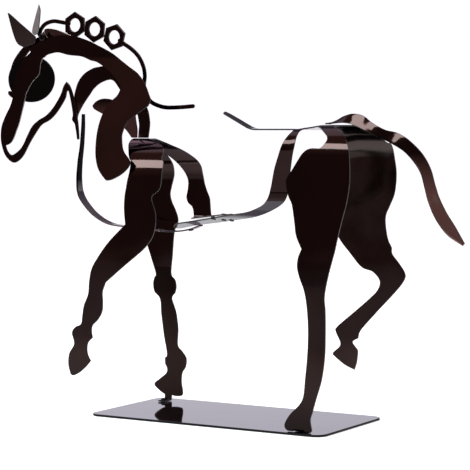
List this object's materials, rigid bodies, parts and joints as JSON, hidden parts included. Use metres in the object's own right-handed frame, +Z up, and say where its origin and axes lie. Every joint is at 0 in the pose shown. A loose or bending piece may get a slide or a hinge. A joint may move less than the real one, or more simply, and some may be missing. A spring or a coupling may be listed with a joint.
{
  "type": "horse statue",
  "caption": "Stepping horse of cut and bent sheet metal on a flat rectangular plate, with hexagonal rings for a mane; a decorative statue that stands by its own weight.",
  "frame": {"origin": "centre of the plate's underside, on the surface that the statue stands on", "axes": "+Z up; X along the plate, the horse faces -X; its left side is towards -Y"},
  "size_m": [0.3663, 0.09, 0.2853],
  "materials": {
    "base_plate": "mirror gloss, near black",
    "hind_sheet": "high gloss, near black with a brown tint",
    "fore_sheet": "high gloss, near black with a brown tint",
    "neck_blade": "high gloss, near black with a brown tint",
    "far_neck": "high gloss, near black with a brown tint",
    "head_outline": "high gloss, near black with a brown tint",
    "cheek_disc": "high gloss, near black with a brown tint",
    "near_ear": "high gloss, near black with a brown tint",
    "far_ear": "high gloss, near black with a brown tint",
    "mane": "high gloss, near black with a brown tint",
    "chest_strap": "high gloss, near black with a brown tint",
    "tail": "high gloss, near black with a brown tint",
    "poll_rivet": "satin, near black"
  },
  "bodies": {
    "root": {"base_plate": "base_plate", "hind_sheet": "hind_sheet", "fore_sheet": "fore_sheet", "neck_blade": "neck_blade", "far_neck": "far_neck", "head_outline": "head_outline", "cheek_disc": "cheek_disc", "near_ear": "near_ear", "far_ear": "far_ear", "mane": "mane", "chest_strap": "chest_strap", "tail": "tail", "poll_rivet": "poll_rivet"}
  },
  "joints": []
}
